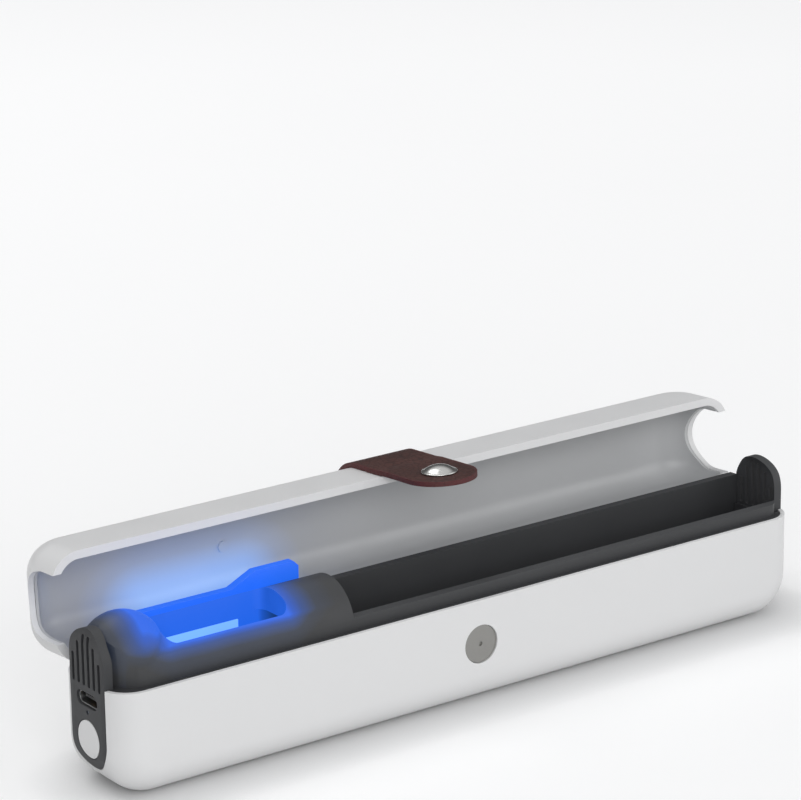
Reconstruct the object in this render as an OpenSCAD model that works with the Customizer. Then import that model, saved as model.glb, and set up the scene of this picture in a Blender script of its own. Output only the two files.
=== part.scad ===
// Travel case that sterilizes a toothbrush with ultraviolet light.
// The case lies on its base with the lid standing open, as it rests in use.
// X runs along the case, the hinge is at the back on the +Y side, and the origin is the
// middle of the underside. Lid pieces are drawn closed and then swung open.

/* [Case] */
// Overall length of the closed case
case_l = 215; // [200:1:235]
// Depth of the case, front to back
case_w = 28; // [28:0.5:31]
// Height of the closed case
case_h = 48.5; // [47.5:0.5:52]
// Height of the seam between base and lid
seam_z = 28; // [27.5:0.1:29]
// Radius of the case's corners, seen from the front
corner_r = 11.5; // [10.5:0.5:13]
// Radius along the case's long edges
edge_r = 8; // [7.6:0.1:8.6]
// Wall of the base shell
base_wall = 2.4; // [2.2:0.1:2.5]
// Wall of the lid shell
lid_wall = 1.5; // [1.4:0.1:1.6]
// Gap between the two shells at the seam when closed
seam_gap = 0.3; // [0.2:0.1:0.5]
// Angle at which the lid stands open
open_angle = 94; // [80:1:94]

/* [Hinge] */
// Distance of the hinge axis inside the back face
hinge_in = 0.9; // [0.8:0.1:1]
// Radius of a hinge knuckle
knuckle_r = 1.6; // [1.5:0.1:1.7]
// Length of one knuckle
knuckle_l = 9; // [7:0.5:12]
// Radius of the hinge pins
pin_r = 0.75; // [0.6:0.05:0.8]
// Distance of each hinge from the middle of the case
hinge_x = 62; // [50:1:75]
// Running clearance of the pin in the lid's knuckle
pin_clearance = 0.05; // [0.03:0.01:0.08]
// Room around a knuckle in the other shell
knuckle_clearance = 0.3; // [0.25:0.05:0.4]

/* [End panels] */
// Half width of the end panels
panel_hw = 7.8; // [7.4:0.1:8]
// Height of the top of the end panels
panel_top = 41.3; // [40.5:0.1:42]
// Height of the bottom of the end panels
panel_bottom = 5.7; // [5.5:0.1:6.5]
// Thickness of the end panels
panel_t = 2.4; // [2.2:0.1:2.6]
// Width of one vent slot
slot_w = 1.1; // [0.9:0.1:1.3]
// Spacing of the vent slots
slot_pitch = 2.35; // [2.2:0.05:2.4]
// Height of the lower end of the vent slots
slot_z = 26.8; // [26.5:0.1:27.5]
// Height of the charging port
port_z = 23.4; // [23.2:0.1:23.8]
// Height of the status light's pinhole
pinhole_z = 20.2; // [20:0.1:20.5]
// Height of the power button
button_z = 13.3; // [13:0.1:13.6]
// Radius of the power button
button_r = 4.8; // [4.5:0.1:5]
// Travel of the power button
button_travel = 0.5; // [0.3:0.1:0.6]

/* [Tray] */
// Radius of the tray's long dome
dome_r = 11.1; // [10.9:0.1:11.1]
// Height of the dome's axis
dome_z = 28.2; // [28:0.1:28.4]
// Wall of the tray
tray_wall = 1.6; // [1.4:0.1:1.8]
// Height of the middle of the round hump at the tray's left end
hump_z = 32.7; // [31.5:0.1:32.8]
// Height of the front wall of the handle bay
front_wall_z = 31; // [30:0.1:32]
// Height of the back wall of the handle bay
back_wall_z = 34.8; // [34:0.1:36]
// Distance of the head bay from the left end of the case
head_bay_in = 18; // [17.5:0.1:20]
// Length of the head bay
head_bay_l = 35.5; // [34:0.5:38]
// Length of the bridge over the toothbrush's neck
bridge_l = 17; // [15:0.5:22]
// Front side of the head bay, from the middle plane
head_bay_front = 8.3; // [8:0.1:8.4]
// Clearance between the lamp's board and the tray's back wall
lamp_gap = 0.4; // [0.3:0.1:0.6]
// Height of the head bay's floor
head_floor_z = 24; // [23.8:0.1:25]
// Front side of the handle bay, from the middle plane
handle_bay_front = 8.9; // [8.4:0.1:9]
// Back side of the handle bay, from the middle plane
handle_bay_back = 7.2; // [6.5:0.1:7.4]
// Height of the handle bay's floor
handle_floor_z = 23.6; // [23.4:0.1:24.4]

/* [Strap] */
// Width of the strap
strap_w = 19.3; // [17:0.1:20]
// Thickness of the strap
strap_t = 1.3; // [1.1:0.1:1.4]
// Height of the snap above the underside
snap_z = 16.2; // [16:0.1:17]
// Radius of the snap cap
cap_r = 4.75; // [4.4:0.05:5]
// Height of the snap cap's dome
cap_h = 2.1; // [1.8:0.1:2.4]
// Radius of the strike disc
disc_r = 5; // [4.8:0.1:5.2]

/* [Power] */
// Mean room on either side of the rechargeable cell
cell_side_room = 2.4; // [2.3:0.1:2.7]
// Length of the rechargeable cell
cell_l = 65; // [60:1:68]
// Thickness of the circuit boards
board_t = 1.2; // [1:0.1:1.4]

/* [Hidden] */
$fn = 64;

// Room between a piece and the seat that holds it
fit_gap = 0.15;
// Room between soft or thin pieces that part when the lid moves
part_gap = 0.3;
// Overrun of a cut past the face that it opens
over = 1;

// Hinge axis
hinge_y = case_w/2 - hinge_in;
hinge_z = seam_z + seam_gap/2;
// Depth of the step that lets the lid's back edge turn
hinge_step = 1.25;
pin_end = 0.4;
knuckle_gap = 0.3;

// Liner of the lid
liner_t = 0.7;
liner_seat = 0.1;
rim_t = 2.1;
rim_h = 1;
nick_in = 27.5;
nick_l = 1.6;

// Clearance of the tray inside the closed lid and above the panels' flanges
tray_inset = 2.7;
low_inset = 3.6;
low_in = 1.2;
// Distance of the hump's middle from the left end of the case
hump_in = 10.5;
hump_x = -case_l/2 + hump_in;
// The hump is a little slimmer than the dome and stands back from the lid's swing
hump_y = 0.3;
hump_slim = 0.4;
// Depth of the small flat on the hump's top
hump_flat = 0.08;
// Radius of the tray's left corners, seen from above; the right ones follow the lid's inside
tray_corner_r = 10;
// Rim of the base that shows in front of the tray's flange
rim_lip = 1.1;
flange_gap = 0.55;
flange_drop = 0.15;
flange_t = 1.5;
flange_z = seam_z - flange_drop - flange_t;
floor_low = min(head_floor_z, handle_floor_z) - tray_wall;
head_bay_x = -case_l/2 + head_bay_in;
handle_bay_x = head_bay_x + head_bay_l + bridge_l;
pocket_wall = 1.2;
pocket_r = 3;
channel_hw = 3.7;
channel_y = 1.2;

// Slots of the end panels
slot_count = 6;
slot_lengths = [7.4, 10.8, 13, 13, 10.8, 7.4];
flange_grow = 1.2;
panel_flange_t = 0.6;
seat_gap = 0.1;
notch_side = 0.85;
notch_shift = 0.5;
notch_top = 0.75;

// Faces along the left end, as distances from the end of the case
flange_x = panel_t + part_gap;
button_flange_t = 0.9;
button_flange_r = 5.6;
switch_room = 0.6;
switch_x = flange_x + button_flange_t + button_travel + switch_room;
switch_t = 3.2;
switch_side = 6;
plunger_r = 1.7;
plunger_seat = 0.1;
board_x = switch_x + switch_t;
board_hw = 7.4;
board_bottom = 8;
board_top = 27.6;
post_r = 1.4;
post_y = 5.6;
post_z = 20.5;
screw_r = 0.6;
screw_head_r = 1.1;
screw_head_t = 0.7;
screw_l = 4.5;

// Charging port
port_w = 8.94;
port_h = 3.26;
port_skin = 0.3;
port_face = 0.6;
port_room = 0.2;
tongue_w = 6.7;
tongue_t = 0.7;
tongue_l = 4.6;
tongue_block = 1.6;

// Status light
pinhole_r = 0.55;
pipe_r = 0.5;
pipe_face = 0.5;
light_w = 2;
light_h = 1.3;
light_t = 0.8;

// Strap path
strap_seat = 0.05;
fold_rise = 1.2;
strap_fold_z = seam_z + fold_rise;
strap_end_y = 5;
rivet_y = [-3.5, 2.5];
rivet_r = 1.6;
rivet_h = 0.6;
rivet_stem_r = 0.7;
magnet_r = 4.2;
magnet_t = 0.45;
snap_stem_r = 1.1;
recess_depth = 1.4;
disc_t = 1;
disc_stem_r = 1.2;
dimple_r = 0.6;
dimple_depth = 0.4;
retainer_r = 3.2;
retainer_t = 0.6;

// Supports in the base
rib_w = 2;
rib_depths = [1.2, 1.6];
rib_bottom = 12;
rib_xs = [-85, -45, -15, 15, 45, 85];
boss_r = 2.6;
// Distances of the two right bosses from the right end of the case
boss_ins = [63.5, 15.5];
boss_xs = [head_bay_x + head_bay_l/2, case_l/2 - boss_ins[0], case_l/2 - boss_ins[1]];
tray_screw_r = 0.9;
tray_screw_l = 7;
tray_head_r = 1.9;
tray_head_t = 1.2;

// Cell, as thick as the room beside it and under the tray allows
nub_r = 3;
nub_l = 0.8;
cell_room = 4.1;
cell_floor_gap = 0.6;
cell_top_gap = 0.6;
cell_wall_gap = 0.2;
cell_r = min(case_w/2 - base_wall - cell_side_room,
    (floor_low - base_wall - cell_floor_gap - cell_top_gap)/2);
cell_x = boss_xs[1] - boss_r - cell_room - nub_l - cell_l/2;
cell_y = -case_w/2 + base_wall + retainer_t + cell_wall_gap + cell_r;
cell_z = base_wall + cell_floor_gap + cell_r;

// Cradle of the cell and its leads
cell_seat = 0.1;
saddle_w = 4;
saddle_x = 24;
lead_r = 0.6;
lead_ins = [2, 3.2];
lead_ys = [-case_w/2 + base_wall + lead_ins[0], case_w/2 - base_wall - lead_ins[1]];
lead_end_y = 3;
lead_z = 5.2;
lead_room = 0.3;
lead_bend = 2.6;
lead_rise = 1;

// Lamp behind the head bay
window_w = 22;
window_h = 5;
window_z = 29;
window_x = head_bay_x + head_bay_l/2;
emitter_w = 3.2;
emitter_t = 0.8;
emitter_pitch = 8;
emitter_count = 3;
lamp_board_h = 7.6;
lamp_board_w = 30;
lamp_board_t = 0.8;
lamp_rest = 1.6;
lamp_lead_r = 0.5;
lamp_lead_rises = [1, 3];
// Inner face of the tray's back wall, and how far the lamp stands before it
lamp_wall_y = min(dome_r - low_in, case_w/2 - low_inset) - tray_wall;
lamp_depth = lamp_gap + lamp_board_t + seat_gap + emitter_t;
// Back face of the head bay's wall, and the bay's back side
lamp_y = lamp_wall_y - lamp_depth;
head_bay_back = lamp_y - pocket_wall;
// The lamp's leads start on the main board and keep clear of the tray's back wall
lamp_lead_y = min(board_hw - lamp_lead_r, lamp_wall_y - lamp_gap - lamp_board_t/2);

// Hood at the back of the head bay
hood_t = 2.4;
hood_top = 42.9;
hood_low = 39.6;
// Distances of the hood's corners from the left end of the head bay
hood_left = -5;
hood_ramp = [27, 34];
hood_right = [45.6, 47];

// Lid switch
lid_magnet_r = 1.5;
lid_magnet_t = 0.6;
sensor_in = 10.4;
sensor_x = handle_bay_x - sensor_in;
sensor_l = 4;
sensor_h = 1.5;
// Underside of the hollow's roof, which the dome or the room inside the lid sets
sensor_roof = min(dome_z + sqrt(pow(dome_r - tray_wall, 2) - pow(sensor_l/2, 2)),
    case_h - low_inset - tray_wall);
sensor_room = 1.8;
channel_top = sensor_roof - sensor_h - sensor_room - pocket_wall;

function left(x) = -case_l/2 + x;

// Rectangle with round corners about the origin
module rounded(a, b, r) {
    square([a - 2*r, b], center = true);
    square([a, b - 2*r], center = true);
    for (x = [-1, 1], y = [-1, 1])
        translate([x*(a/2 - r), y*(b/2 - r)])
            circle(r);
}

// The closed case's outer form, drawn in by inset on every side
module form(inset) {
    l = case_l - 2*inset;
    w = case_w - 2*inset;
    h = case_h - 2*inset;
    r = edge_r - inset;
    c = corner_r - inset;
    translate([0, 0, case_h/2]) {
        rotate([90, 0, 90])
            linear_extrude(l - 2*c, center = true)
                rounded(w, h, r);
        linear_extrude(h - 2*c, center = true)
            rounded(l, w, r);
        for (x = [-1, 1], z = [-1, 1])
            translate([x*(l/2 - c), 0, z*(h/2 - c)])
                rotate([90, 0, 0])
                    rotate_extrude()
                        intersection() {
                            rounded(2*c, w, r);
                            translate([0, -w/2])
                                square([c, w]);
                        }
    }
}

// Block that spans the case in X and Y between two heights
module slab(z0, z1) {
    translate([-case_l, -case_w, z0])
        cube([2*case_l, 2*case_w, z1 - z0]);
}

// Swings a lid piece from its closed place to where it stands open
module opened() {
    translate([0, hinge_y, hinge_z])
        rotate([-open_angle, 0, 0])
            translate([0, -hinge_y, -hinge_z])
                children();
}

// Cylinder along X from x0 to x1
module rod_x(x0, x1, y, z, r) {
    translate([x0, y, z])
        rotate([0, 90, 0])
            cylinder(h = x1 - x0, r = r);
}

// Cylinder along Y from y0 to y1
module rod_y(y0, y1, x, z, r) {
    translate([x, y1, z])
        rotate([90, 0, 0])
            cylinder(h = y1 - y0, r = r);
}

// Box between two corners
module block(low, high) {
    translate(low)
        cube(high - low);
}

// Upright stadium outline of an end panel
module panel_outline(half, top, bottom) {
    translate([0, top - half])
        circle(half);
    translate([0, bottom + half])
        circle(half);
    translate([-half, bottom + half])
        square([2*half, top - bottom - 2*half]);
}

// Bar with the panel's outline that runs through one end of the case
module end_bar(side, half, top, bottom, shift = 0) {
    translate([side*case_l/2, shift, 0])
        rotate([90, 0, 90])
            linear_extrude(2*corner_r, center = true)
                panel_outline(half, top, bottom);
}

// Knuckles of both hinges; each hinge has three, and which picks among them
module knuckles(which, r, extra) {
    pitch = knuckle_l + knuckle_gap;
    for (h = [-1, 1], k = which)
        rod_x(h*hinge_x + k*pitch - knuckle_l/2 - extra, h*hinge_x + k*pitch + knuckle_l/2 + extra,
            hinge_y, hinge_z, r);
}

module pin_bores(r) {
    reach = 1.5*knuckle_l + knuckle_gap + over;
    for (h = [-1, 1])
        rod_x(h*hinge_x - reach, h*hinge_x + reach, hinge_y, hinge_z, r);
}

module base_shell() {
    color("whitesmoke")
        difference() {
            union() {
                difference() {
                    intersection() {
                        form(0);
                        slab(-over, seam_z);
                    }
                    form(base_wall);
                    // Step along the front that the tray's flange lies in
                    intersection() {
                        plan(rim_lip, edge_r - rim_lip, flange_z, case_h);
                        block([-case_l, -case_w, 0], [case_l, 0, case_h]);
                    }
                    // Step along the back that the lid's edge turns into
                    block([-case_l, hinge_y - pin_clearance, hinge_z - hinge_step],
                        [case_l, case_w, case_h]);
                    knuckles([0], knuckle_r + knuckle_clearance, knuckle_clearance);
                }
                knuckles([-1, 1], knuckle_r, 0);
                base_supports();
            }
            pin_bores(pin_r + pin_clearance/2);
            for (side = [-1, 1])
                end_bar(side, panel_hw + fit_gap, panel_top, panel_bottom - fit_gap);
            strike_recess();
            for (x = boss_xs)
                translate([x, 0, tray_bottom(x) - tray_screw_l + tray_wall])
                    cylinder(h = tray_screw_l + over, r = tray_screw_r - pin_clearance);
        }
}

function tray_bottom(x) = (x < handle_bay_x ? head_floor_z : handle_floor_z) - tray_wall;

// Ribs that carry the tray's flange, and bosses for its screws
module base_supports() {
    intersection() {
        form(base_wall/2);
        union() {
            for (x = rib_xs, k = [0, 1]) {
                depth = rib_depths[k];
                middle = (2*k - 1)*(case_w - base_wall - depth)/2;
                block([x - rib_w/2, middle - depth, rib_bottom], [x + rib_w/2, middle + depth, flange_z]);
            }
            for (x = boss_xs)
                translate([x, 0, base_wall/2])
                    cylinder(h = tray_bottom(x) - base_wall/2, r = boss_r);
        }
    }
}

module strike_recess() {
    rod_y(-case_w/2 - over, -case_w/2 + recess_depth, 0, snap_z, disc_r + fit_gap);
    rod_y(-case_w/2 - over, -case_w/2 + base_wall + over, 0, snap_z, disc_stem_r + pin_clearance);
}

// U-shaped cut in the lid's ends that clears the end panels as the lid swings
module lid_notches(grow) {
    for (side = [-1, 1])
        end_bar(side, panel_hw + notch_side + grow, panel_top + notch_top + grow, 0, -notch_shift);
}

module lid_shell() {
    color("whitesmoke")
        opened()
            difference() {
                union() {
                    difference() {
                        intersection() {
                            form(0);
                            slab(seam_z + seam_gap, case_h + over);
                        }
                        intersection() {
                            form(lid_wall);
                            slab(seam_z + seam_gap + rim_h, case_h);
                        }
                        form(rim_t);
                        knuckles([-1, 1], knuckle_r + knuckle_clearance, knuckle_clearance);
                    }
                    knuckles([0], knuckle_r, 0);
                }
                pin_bores(pin_r + pin_clearance);
                lid_notches(0);
                rivet_holes();
            }
}

module lid_liner() {
    color("gray")
        opened()
            difference() {
                intersection() {
                    form(lid_wall + liner_seat);
                    slab(seam_z + seam_gap + rim_h + liner_seat, case_h);
                }
                form(lid_wall + liner_seat + liner_t);
                lid_notches(liner_seat);
                rod_x(-case_l, case_l, hinge_y, hinge_z, knuckle_r + knuckle_clearance);
                // Small nick in the front rim
                block([left(nick_in), -case_w/2, seam_z], [left(nick_in + nick_l), -head_bay_front,
                    seam_z + seam_gap + rim_h + nick_l]);
            }
}

// Long dome from end to end, and the straight body below it down to z0
module dome(r, z0) {
    intersection() {
        rod_x(left(0), case_l/2, 0, dome_z, r);
        slab(max(z0, dome_z), case_h);
    }
    if (z0 < dome_z)
        block([left(0), -r, z0], [case_l/2, r, dome_z]);
}

// Round hump that rises at the left end, with a small flat on its top
module hump(r) {
    translate([hump_x, hump_y, hump_z])
        intersection() {
            sphere(r);
            block([-r, -r, -r], [r, r, r - hump_flat]);
        }
}

// Plan outline of the case, drawn in by inset, from z0 to z1
module plan(inset, r, z0, z1) {
    translate([0, 0, z0])
        linear_extrude(z1 - z0)
            rounded(case_l - 2*inset, case_w - 2*inset, r);
}

// Room for the tray, drawn in by inset, upward from z0
module tray_room(inset, z0) {
    // Two outlines, each longer than the case by its width at the end that the other one rounds
    l = case_l - 2*inset + case_w;
    w = case_w - 2*inset;
    intersection() {
        translate([0, 0, z0])
            linear_extrude(case_h - z0)
                intersection() {
                    translate([case_w/2, 0])
                        rounded(l, w, tray_corner_r + tray_inset - inset);
                    translate([-case_w/2, 0])
                        rounded(l, w, edge_r + part_gap - inset);
                }
        translate([0, 0, case_h/2])
            rotate([90, 0, 0])
                linear_extrude(2*case_w, center = true)
                    rounded(case_l - 2*inset, case_h - 2*inset, corner_r - inset);
    }
}

module tray_outer() {
    intersection() {
        tray_room(tray_inset, flange_z);
        union() {
            dome(dome_r, flange_z);
            hump(dome_r - hump_slim);
        }
    }
    // Walls of the bays below the flange
    intersection() {
        tray_room(low_inset, floor_low);
        slab(floor_low, flange_z + flange_t/2);
        dome(dome_r - low_in, floor_low);
    }
    // Flange on the base shell's rim and ribs
    difference() {
        union() {
            plan(base_wall + flange_gap, edge_r - base_wall - flange_gap, flange_z, flange_z + flange_t);
            intersection() {
                plan(rim_lip + fit_gap, edge_r - rim_lip - fit_gap, flange_z, flange_z + flange_t);
                block([-case_l, -case_w, 0], [case_l, 0, case_h]);
            }
        }
        for (side = [-1, 1])
            block([side*case_l/2 - panel_t - part_gap - fit_gap, -panel_hw - fit_gap, 0],
                [side*case_l/2 + panel_t + part_gap + fit_gap, panel_hw + fit_gap, case_h]);
    }
}

// Hollow under the dome and the hump
module tray_hollow() {
    intersection() {
        tray_room(low_inset + tray_wall, 0);
        union() {
            dome(dome_r - low_in - tray_wall, 0);
            dome(dome_r - tray_wall, dome_z - low_in);
            hump(dome_r - low_in - tray_wall);
        }
        block([-case_l, -case_w, 0], [handle_bay_x - tray_wall, case_w, case_h]);
    }
}

// Head bay and the neck channel that leads out of it, grown by wall
module head_bay(wall, z0, z1) {
    front = -head_bay_front - wall;
    back = head_bay_back + wall;
    translate([head_bay_x + head_bay_l/2, (front + back)/2, z0])
        linear_extrude(z1 - z0)
            rounded(head_bay_l + 2*wall, back - front, pocket_r + wall);
}

module neck_channel(wall) {
    block([head_bay_x + head_bay_l - pocket_r, channel_y - channel_hw - wall, head_floor_z - wall],
        [handle_bay_x + over, channel_y + channel_hw + wall, channel_top + wall]);
}

// Handle bay, open to the right end, with everything above the sloping tops of its walls
module handle_bay() {
    front_y = -sqrt(pow(dome_r, 2) - pow(front_wall_z - dome_z, 2));
    back_y = sqrt(pow(dome_r, 2) - pow(back_wall_z - dome_z, 2));
    slope = atan((back_wall_z - front_wall_z)/(back_y - front_y));
    intersection() {
        block([handle_bay_x, -case_w, 0], [case_l, case_w, case_h]);
        union() {
            block([handle_bay_x - over, -handle_bay_front, handle_floor_z],
                [2*case_l, handle_bay_back, 2*case_h]);
            translate([0, front_y, front_wall_z])
                rotate([slope, 0, 0])
                    block([handle_bay_x - over, -case_w, 0], [2*case_l, 2*case_w, 2*case_h]);
        }
    }
}

module inner_tray() {
    color("dimgray")
        difference() {
            union() {
                difference() {
                    tray_outer();
                    tray_hollow();
                }
                intersection() {
                    dome(dome_r - tray_wall/2, floor_low);
                    union() {
                        head_bay(pocket_wall, head_floor_z - tray_wall, case_h);
                        neck_channel(pocket_wall);
                    }
                }
                // Rests of the lamp board
                for (side = [-1, 1])
                    translate([window_x + side*(lamp_board_w/2 - lamp_rest), 0, head_floor_z - tray_wall])
                        block([-lamp_rest/2, head_bay_back + pocket_wall/2, 0],
                            [lamp_rest/2, lamp_y + emitter_t + seat_gap, lamp_board_h]);
            }
            head_bay(0, head_floor_z, case_h + over);
            neck_channel(0);
            handle_bay();
            // Way through the left end for the port and the switch
            block([-case_l, -board_hw - fit_gap, 0],
                [left(board_x + board_t + fit_gap), board_hw + fit_gap, board_top + fit_gap]);
            window_opening(fit_gap);
            for (x = boss_xs)
                translate([x, 0, 0])
                    cylinder(h = head_floor_z + over, r = tray_screw_r + fit_gap);
        }
}

module window_opening(room) {
    block([window_x - window_w/2 - room, 0, window_z - window_h/2 - room],
        [window_x + window_w/2 + room, head_bay_back + pocket_wall + over, window_z + window_h/2 + room]);
}

// Plate that fills the cut in one end of the case
module end_plate(side) {
    intersection() {
        difference() {
            form(0);
            form(panel_t);
        }
        end_bar(side, panel_hw, panel_top, panel_bottom);
    }
    // Flange inside the base shell that keeps the plate in
    intersection() {
        difference() {
            form(base_wall + seat_gap);
            form(base_wall + seat_gap + panel_flange_t);
        }
        end_bar(side, panel_hw + flange_grow, panel_top, panel_bottom - flange_grow);
        slab(0, flange_z - seat_gap);
    }
}

module vent_slots(side) {
    for (k = [0:slot_count - 1])
        translate([side*case_l/2, (k - (slot_count - 1)/2)*slot_pitch, slot_z])
            rotate([90, 0, 90])
                linear_extrude(2*corner_r, center = true) {
                    translate([-slot_w/2, slot_w/2])
                        square([slot_w, slot_lengths[k] - slot_w]);
                    translate([0, slot_w/2])
                        circle(slot_w/2);
                    translate([0, slot_lengths[k] - slot_w/2])
                        circle(slot_w/2);
                }
}

module control_panel() {
    color("dimgray")
        difference() {
            union() {
                end_plate(-1);
                for (y = [-1, 1])
                    rod_x(left(panel_t/2), left(board_x), y*post_y, post_z, post_r);
            }
            vent_slots(-1);
            port_outline(left(-over), left(board_x), port_room);
            rod_x(left(-over), left(board_x), 0, pinhole_z, pinhole_r);
            rod_x(left(-over), left(board_x), 0, button_z, button_r + fit_gap + pin_clearance);
            rod_x(left(flange_x - fit_gap), left(board_x), 0, button_z, button_flange_r + part_gap);
            for (y = [-1, 1])
                rod_x(left(board_x - screw_l + board_t - over), left(board_x + over), y*post_y, post_z,
                    screw_r - pin_clearance);
        }
}

module vent_panel() {
    color("dimgray")
        difference() {
            end_plate(1);
            vent_slots(1);
        }
}

// Flat stadium along X, the outline of the charging port
module port_outline(x0, x1, room) {
    r = port_h/2 + room;
    for (y = [-1, 1])
        rod_x(x0, x1, y*(port_w/2 - port_h/2), port_z, r);
    block([x0, -port_w/2 + port_h/2, port_z - r], [x1, port_w/2 - port_h/2, port_z + r]);
}

module power_button() {
    color("white") {
        intersection() {
            form(seat_gap/2);
            rod_x(left(-over), left(flange_x + button_flange_t), 0, button_z, button_r);
        }
        rod_x(left(flange_x), left(flange_x + button_flange_t), 0, button_z, button_flange_r);
    }
}

module switch_plunger() {
    color("black")
        rod_x(left(flange_x + button_flange_t), left(switch_x + button_travel), 0, button_z, plunger_r);
}

module tact_switch() {
    color("darkslategray")
        difference() {
            block([left(switch_x), -switch_side/2, button_z - switch_side/2],
                [left(switch_x + switch_t), switch_side/2, button_z + switch_side/2]);
            rod_x(left(switch_x - over), left(switch_x + 2*button_travel + part_gap), 0, button_z,
                plunger_r + plunger_seat);
        }
}

module main_board() {
    color("darkgreen")
        difference() {
            block([left(board_x), -board_hw, board_bottom], [left(board_x + board_t), board_hw, board_top]);
            for (y = [-1, 1])
                rod_x(left(board_x - over), left(board_x + board_t + over), y*post_y, post_z,
                    screw_r + fit_gap);
        }
}

// Charger chip, coil and connector on the back of the main board
module board_parts() {
    back = board_x + board_t;
    chip_w = 4.5;
    chip_t = 1.1;
    driver_w = 1.8;
    coil_r = 2.4;
    coil_t = 2.2;
    plug_w = 5;
    plug_h = 3.4;
    plug_z = 25.6;
    margin = 1;
    color("black") {
        block([left(back), -chip_w/2, button_z - chip_w/2],
            [left(back + chip_t), chip_w/2, button_z + chip_w/2]);
        rod_x(left(back), left(back + coil_t), board_hw - 2*coil_r, plug_z, coil_r);
        block([left(back), -board_hw + margin, board_bottom + margin],
            [left(back + chip_t), -board_hw + margin + driver_w, button_z]);
    }
    color("ivory")
        block([left(back), -board_hw + margin, plug_z - plug_h/2],
            [left(back + coil_t), -board_hw + margin + plug_w, plug_z + plug_h/2]);
}

module usb_receptacle() {
    color("silver")
        difference() {
            port_outline(left(port_face), left(board_x), 0);
            port_outline(left(port_face - over), left(board_x + over), -port_skin);
        }
}

module usb_tongue() {
    color("black") {
        port_outline(left(board_x - tongue_block), left(board_x), -port_skin);
        block([left(board_x - tongue_block - tongue_l), -tongue_w/2, port_z - tongue_t/2],
            [left(board_x - tongue_block/2), tongue_w/2, port_z + tongue_t/2]);
    }
}

module status_light() {
    color("lightyellow")
        block([left(board_x - light_t), -light_w/2, pinhole_z - light_h/2],
            [left(board_x), light_w/2, pinhole_z + light_h/2]);
}

module light_pipe() {
    color("white")
        rod_x(left(pipe_face), left(board_x - light_t), 0, pinhole_z, pipe_r);
}

module board_screws() {
    back = board_x + board_t;
    color("silver")
        for (y = [-1, 1]) {
            rod_x(left(back), left(back + screw_head_t), y*post_y, post_z, screw_head_r);
            rod_x(left(back - screw_l), left(back), y*post_y, post_z, screw_r - pin_clearance);
        }
}

module battery_cell() {
    color("steelblue")
        rod_x(cell_x - cell_l/2, cell_x + cell_l/2, cell_y, cell_z, cell_r);
    color("silver")
        rod_x(cell_x + cell_l/2, cell_x + cell_l/2 + nub_l, cell_y, cell_z, nub_r);
}

module cell_cradle() {
    color("black")
        for (side = [-1, 1])
            difference() {
                intersection() {
                    form(base_wall + pin_clearance);
                    translate([cell_x + side*saddle_x - saddle_w/2, -case_w, 0])
                        cube([saddle_w, 2*case_w, cell_z]);
                }
                rod_x(cell_x - cell_l, cell_x + cell_l, cell_y, cell_z, cell_r + cell_seat);
                for (y = lead_ys)
                    rod_x(cell_x - cell_l, cell_x + cell_l, y, lead_z, lead_r + lead_room);
            }
}

// Lead from the back of the main board along the floor and up to one end of the cell
module lead(y, y0, x1) {
    x0 = left(board_x + board_t + lead_bend);
    z0 = board_bottom + lead_rise;
    rod_x(x0 - lead_bend, x0, y0, z0, lead_r);
    rod_y(min(y, y0), max(y, y0), x0, z0, lead_r);
    rod_x(x0, x1, y, lead_z, lead_r);
    rod_y(min(y, cell_y), max(y, cell_y), x1, cell_z, lead_r);
    for (p = [[x0, z0], [x1, cell_z]]) {
        translate([p[0], y, lead_z])
            cylinder(h = p[1] - lead_z, r = lead_r);
        for (z = [lead_z, p[1]])
            translate([p[0], y, z])
                sphere(lead_r);
    }
    for (p = [[x0, y0, z0], [x1, cell_y, cell_z]])
        translate(p)
            sphere(lead_r);
}

module cell_leads() {
    color("firebrick")
        lead(lead_ys[0], -lead_end_y, cell_x + cell_l/2 + nub_l + lead_r);
    color("black")
        lead(lead_ys[1], lead_end_y, cell_x - cell_l/2 - lead_r);
}

module uv_window() {
    color("lightcyan")
        block([window_x - window_w/2, lamp_y - pocket_wall + seat_gap, window_z - window_h/2],
            [window_x + window_w/2, lamp_y - seat_gap, window_z + window_h/2]);
}

module uv_emitters() {
    y1 = lamp_y + emitter_t + seat_gap;
    color("royalblue")
        for (k = [0:emitter_count - 1])
            translate([window_x + (k - (emitter_count - 1)/2)*emitter_pitch, 0, window_z])
                block([-emitter_w/2, y1 - emitter_t, -emitter_w/2], [emitter_w/2, y1, emitter_w/2]);
}

module lamp_board() {
    y0 = lamp_y + emitter_t + seat_gap;
    z0 = head_floor_z + fit_gap;
    color("darkgreen")
        block([window_x - lamp_board_w/2, y0, z0],
            [window_x + lamp_board_w/2, y0 + lamp_board_t, z0 + lamp_board_h]);
}

module lamp_leads() {
    for (k = [0, 1])
        color(["firebrick", "black"][k])
            rod_x(left(board_x + board_t), window_x - lamp_board_w/2, lamp_lead_y,
                head_floor_z + lamp_lead_rises[k], lamp_lead_r);
}

// Hood along the back of the head bay, whose left end runs up to the hump
module uv_hood() {
    corner = hood_right[1] - hood_right[0];
    color("royalblue")
        difference() {
            translate([head_bay_x, head_bay_back + hood_t, 0])
                rotate([90, 0, 0])
                    linear_extrude(hood_t)
                        polygon([
                            [hood_left, dome_z], [hood_left, hood_low], [hood_ramp[0], hood_low],
                            [hood_ramp[1], hood_top], [hood_right[0], hood_top],
                            [hood_right[1], hood_top - corner], [hood_right[1], dome_z]
                        ]);
            rod_x(-case_l, case_l, 0, dome_z, dome_r);
            hump(dome_r - hump_slim + fit_gap);
        }
}

module hinge_pins() {
    reach = 1.5*knuckle_l + knuckle_gap - pin_end;
    color("silver")
        for (h = [-1, 1])
            rod_x(h*hinge_x - reach, h*hinge_x + reach, hinge_y, hinge_z, pin_r);
}

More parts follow.
